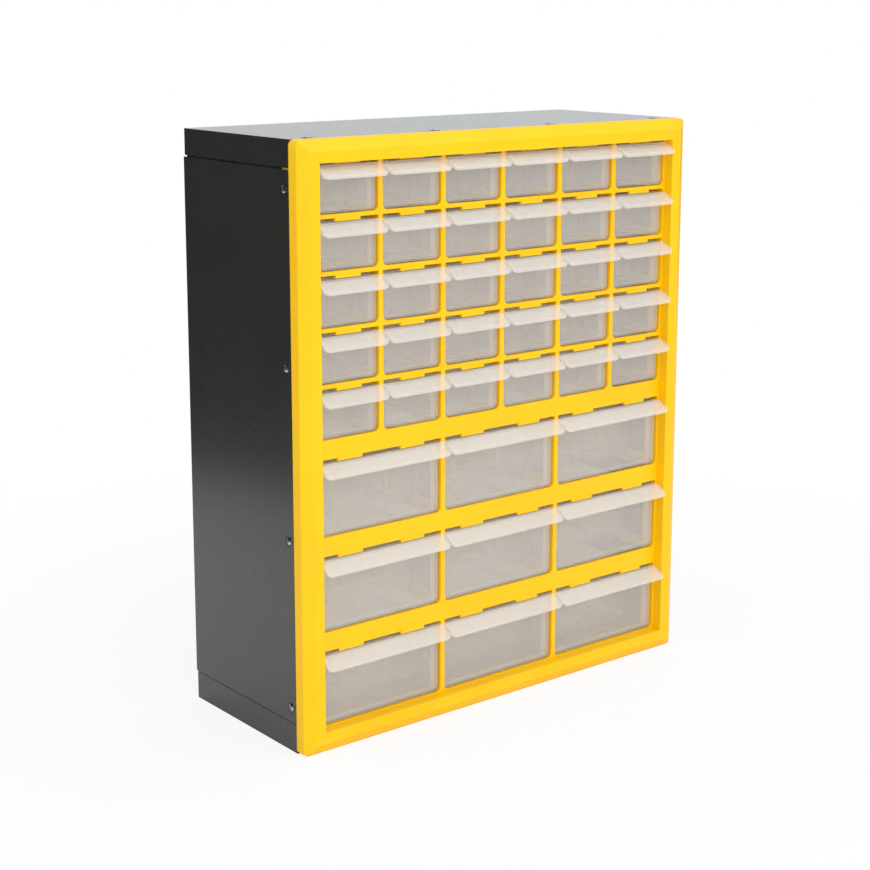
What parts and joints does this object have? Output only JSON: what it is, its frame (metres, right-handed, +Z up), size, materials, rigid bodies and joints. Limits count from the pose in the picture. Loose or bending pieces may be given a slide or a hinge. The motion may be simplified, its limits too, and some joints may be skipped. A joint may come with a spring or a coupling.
{
  "type": "parts bin cabinet",
  "caption": "Steel cabinet with a moulded front frame and rows of small and large translucent pull-out drawers for sorting small parts.",
  "frame": {"origin": "on the floor under the middle of the whole cabinet, pull lips included", "axes": "+Z up; drawer fronts face -Y; +X to the right as seen from the front"},
  "size_m": [0.4054, 0.1674, 0.4763],
  "materials": {
    "yellow_moulding": "yellow injection moulding, slight gloss",
    "painted_steel": "dark grey powder coat on folded sheet",
    "frosted_plastic": "translucent natural polypropylene, frosted",
    "zinc_screws": "bright zinc plate"
  },
  "bodies": {
    "cabinet": {"front_frame": "yellow_moulding", "front_lattice": "yellow_moulding", "cell_walls": "yellow_moulding", "small_runners": "yellow_moulding", "large_runners": "yellow_moulding", "floor_guides": "painted_steel", "top_panel": "painted_steel", "bottom_panel": "painted_steel", "left_side_panel": "painted_steel", "right_side_panel": "painted_steel", "back_panel": "painted_steel", "left_frame_screws": "zinc_screws", "right_frame_screws": "zinc_screws", "top_frame_screws": "zinc_screws", "bottom_frame_screws": "zinc_screws", "back_screws": "zinc_screws"},
    "small_drawer_r1c1": {"small_drawer_r1c1": "frosted_plastic"},
    "small_drawer_r1c2": {"small_drawer_r1c2": "frosted_plastic"},
    "small_drawer_r1c3": {"small_drawer_r1c3": "frosted_plastic"},
    "small_drawer_r1c4": {"small_drawer_r1c4": "frosted_plastic"},
    "small_drawer_r1c5": {"small_drawer_r1c5": "frosted_plastic"},
    "small_drawer_r1c6": {"small_drawer_r1c6": "frosted_plastic"},
    "small_drawer_r2c1": {"small_drawer_r2c1": "frosted_plastic"},
    "small_drawer_r2c2": {"small_drawer_r2c2": "frosted_plastic"},
    "small_drawer_r2c3": {"small_drawer_r2c3": "frosted_plastic"},
    "small_drawer_r2c4": {"small_drawer_r2c4": "frosted_plastic"},
    "small_drawer_r2c5": {"small_drawer_r2c5": "frosted_plastic"},
    "small_drawer_r2c6": {"small_drawer_r2c6": "frosted_plastic"},
    "small_drawer_r3c1": {"small_drawer_r3c1": "frosted_plastic"},
    "small_drawer_r3c2": {"small_drawer_r3c2": "frosted_plastic"},
    "small_drawer_r3c3": {"small_drawer_r3c3": "frosted_plastic"},
    "small_drawer_r3c4": {"small_drawer_r3c4": "frosted_plastic"},
    "small_drawer_r3c5": {"small_drawer_r3c5": "frosted_plastic"},
    "small_drawer_r3c6": {"small_drawer_r3c6": "frosted_plastic"},
    "small_drawer_r4c1": {"small_drawer_r4c1": "frosted_plastic"},
    "small_drawer_r4c2": {"small_drawer_r4c2": "frosted_plastic"},
    "small_drawer_r4c3": {"small_drawer_r4c3": "frosted_plastic"},
    "small_drawer_r4c4": {"small_drawer_r4c4": "frosted_plastic"},
    "small_drawer_r4c5": {"small_drawer_r4c5": "frosted_plastic"},
    "small_drawer_r4c6": {"small_drawer_r4c6": "frosted_plastic"},
    "small_drawer_r5c1": {"small_drawer_r5c1": "frosted_plastic"},
    "small_drawer_r5c2": {"small_drawer_r5c2": "frosted_plastic"},
    "small_drawer_r5c3": {"small_drawer_r5c3": "frosted_plastic"},
    "small_drawer_r5c4": {"small_drawer_r5c4": "frosted_plastic"},
    "small_drawer_r5c5": {"small_drawer_r5c5": "frosted_plastic"},
    "small_drawer_r5c6": {"small_drawer_r5c6": "frosted_plastic"},
    "large_drawer_r1c1": {"large_drawer_r1c1": "frosted_plastic"},
    "large_drawer_r1c2": {"large_drawer_r1c2": "frosted_plastic"},
    "large_drawer_r1c3": {"large_drawer_r1c3": "frosted_plastic"},
    "large_drawer_r2c1": {"large_drawer_r2c1": "frosted_plastic"},
    "large_drawer_r2c2": {"large_drawer_r2c2": "frosted_plastic"},
    "large_drawer_r2c3": {"large_drawer_r2c3": "frosted_plastic"},
    "large_drawer_r3c1": {"large_drawer_r3c1": "frosted_plastic"},
    "large_drawer_r3c2": {"large_drawer_r3c2": "frosted_plastic"},
    "large_drawer_r3c3": {"large_drawer_r3c3": "frosted_plastic"}
  },
  "joints": [
    {"name": "small_drawer_r1c1_slide", "type": "slide", "parent": "cabinet", "child": "small_drawer_r1c1", "axis": [0, -1, 0], "range_m": [0, 0.135]},
    {"name": "small_drawer_r1c2_slide", "type": "slide", "parent": "cabinet", "child": "small_drawer_r1c2", "axis": [0, -1, 0], "range_m": [0, 0.135]},
    {"name": "small_drawer_r1c3_slide", "type": "slide", "parent": "cabinet", "child": "small_drawer_r1c3", "axis": [0, -1, 0], "range_m": [0, 0.135]},
    {"name": "small_drawer_r1c4_slide", "type": "slide", "parent": "cabinet", "child": "small_drawer_r1c4", "axis": [0, -1, 0], "range_m": [0, 0.135]},
    {"name": "small_drawer_r1c5_slide", "type": "slide", "parent": "cabinet", "child": "small_drawer_r1c5", "axis": [0, -1, 0], "range_m": [0, 0.135]},
    {"name": "small_drawer_r1c6_slide", "type": "slide", "parent": "cabinet", "child": "small_drawer_r1c6", "axis": [0, -1, 0], "range_m": [0, 0.135]},
    {"name": "small_drawer_r2c1_slide", "type": "slide", "parent": "cabinet", "child": "small_drawer_r2c1", "axis": [0, -1, 0], "range_m": [0, 0.135]},
    {"name": "small_drawer_r2c2_slide", "type": "slide", "parent": "cabinet", "child": "small_drawer_r2c2", "axis": [0, -1, 0], "range_m": [0, 0.135]},
    {"name": "small_drawer_r2c3_slide", "type": "slide", "parent": "cabinet", "child": "small_drawer_r2c3", "axis": [0, -1, 0], "range_m": [0, 0.135]},
    {"name": "small_drawer_r2c4_slide", "type": "slide", "parent": "cabinet", "child": "small_drawer_r2c4", "axis": [0, -1, 0], "range_m": [0, 0.135]},
    {"name": "small_drawer_r2c5_slide", "type": "slide", "parent": "cabinet", "child": "small_drawer_r2c5", "axis": [0, -1, 0], "range_m": [0, 0.135]},
    {"name": "small_drawer_r2c6_slide", "type": "slide", "parent": "cabinet", "child": "small_drawer_r2c6", "axis": [0, -1, 0], "range_m": [0, 0.135]},
    {"name": "small_drawer_r3c1_slide", "type": "slide", "parent": "cabinet", "child": "small_drawer_r3c1", "axis": [0, -1, 0], "range_m": [0, 0.135]},
    {"name": "small_drawer_r3c2_slide", "type": "slide", "parent": "cabinet", "child": "small_drawer_r3c2", "axis": [0, -1, 0], "range_m": [0, 0.135]},
    {"name": "small_drawer_r3c3_slide", "type": "slide", "parent": "cabinet", "child": "small_drawer_r3c3", "axis": [0, -1, 0], "range_m": [0, 0.135]},
    {"name": "small_drawer_r3c4_slide", "type": "slide", "parent": "cabinet", "child": "small_drawer_r3c4", "axis": [0, -1, 0], "range_m": [0, 0.135]},
    {"name": "small_drawer_r3c5_slide", "type": "slide", "parent": "cabinet", "child": "small_drawer_r3c5", "axis": [0, -1, 0], "range_m": [0, 0.135]},
    {"name": "small_drawer_r3c6_slide", "type": "slide", "parent": "cabinet", "child": "small_drawer_r3c6", "axis": [0, -1, 0], "range_m": [0, 0.135]},
    {"name": "small_drawer_r4c1_slide", "type": "slide", "parent": "cabinet", "child": "small_drawer_r4c1", "axis": [0, -1, 0], "range_m": [0, 0.135]},
    {"name": "small_drawer_r4c2_slide", "type": "slide", "parent": "cabinet", "child": "small_drawer_r4c2", "axis": [0, -1, 0], "range_m": [0, 0.135]},
    {"name": "small_drawer_r4c3_slide", "type": "slide", "parent": "cabinet", "child": "small_drawer_r4c3", "axis": [0, -1, 0], "range_m": [0, 0.135]},
    {"name": "small_drawer_r4c4_slide", "type": "slide", "parent": "cabinet", "child": "small_drawer_r4c4", "axis": [0, -1, 0], "range_m": [0, 0.135]},
    {"name": "small_drawer_r4c5_slide", "type": "slide", "parent": "cabinet", "child": "small_drawer_r4c5", "axis": [0, -1, 0], "range_m": [0, 0.135]},
    {"name": "small_drawer_r4c6_slide", "type": "slide", "parent": "cabinet", "child": "small_drawer_r4c6", "axis": [0, -1, 0], "range_m": [0, 0.135]},
    {"name": "small_drawer_r5c1_slide", "type": "slide", "parent": "cabinet", "child": "small_drawer_r5c1", "axis": [0, -1, 0], "range_m": [0, 0.135]},
    {"name": "small_drawer_r5c2_slide", "type": "slide", "parent": "cabinet", "child": "small_drawer_r5c2", "axis": [0, -1, 0], "range_m": [0, 0.135]},
    {"name": "small_drawer_r5c3_slide", "type": "slide", "parent": "cabinet", "child": "small_drawer_r5c3", "axis": [0, -1, 0], "range_m": [0, 0.135]},
    {"name": "small_drawer_r5c4_slide", "type": "slide", "parent": "cabinet", "child": "small_drawer_r5c4", "axis": [0, -1, 0], "range_m": [0, 0.135]},
    {"name": "small_drawer_r5c5_slide", "type": "slide", "parent": "cabinet", "child": "small_drawer_r5c5", "axis": [0, -1, 0], "range_m": [0, 0.135]},
    {"name": "small_drawer_r5c6_slide", "type": "slide", "parent": "cabinet", "child": "small_drawer_r5c6", "axis": [0, -1, 0], "range_m": [0, 0.135]},
    {"name": "large_drawer_r1c1_slide", "type": "slide", "parent": "cabinet", "child": "large_drawer_r1c1", "axis": [0, -1, 0], "range_m": [0, 0.135]},
    {"name": "large_drawer_r1c2_slide", "type": "slide", "parent": "cabinet", "child": "large_drawer_r1c2", "axis": [0, -1, 0], "range_m": [0, 0.135]},
    {"name": "large_drawer_r1c3_slide", "type": "slide", "parent": "cabinet", "child": "large_drawer_r1c3", "axis": [0, -1, 0], "range_m": [0, 0.135]},
    {"name": "large_drawer_r2c1_slide", "type": "slide", "parent": "cabinet", "child": "large_drawer_r2c1", "axis": [0, -1, 0], "range_m": [0, 0.135]},
    {"name": "large_drawer_r2c2_slide", "type": "slide", "parent": "cabinet", "child": "large_drawer_r2c2", "axis": [0, -1, 0], "range_m": [0, 0.135]},
    {"name": "large_drawer_r2c3_slide", "type": "slide", "parent": "cabinet", "child": "large_drawer_r2c3", "axis": [0, -1, 0], "range_m": [0, 0.135]},
    {"name": "large_drawer_r3c1_slide", "type": "slide", "parent": "cabinet", "child": "large_drawer_r3c1", "axis": [0, -1, 0], "range_m": [0, 0.135]},
    {"name": "large_drawer_r3c2_slide", "type": "slide", "parent": "cabinet", "child": "large_drawer_r3c2", "axis": [0, -1, 0], "range_m": [0, 0.135]},
    {"name": "large_drawer_r3c3_slide", "type": "slide", "parent": "cabinet", "child": "large_drawer_r3c3", "axis": [0, -1, 0], "range_m": [0, 0.135]}
  ]
}
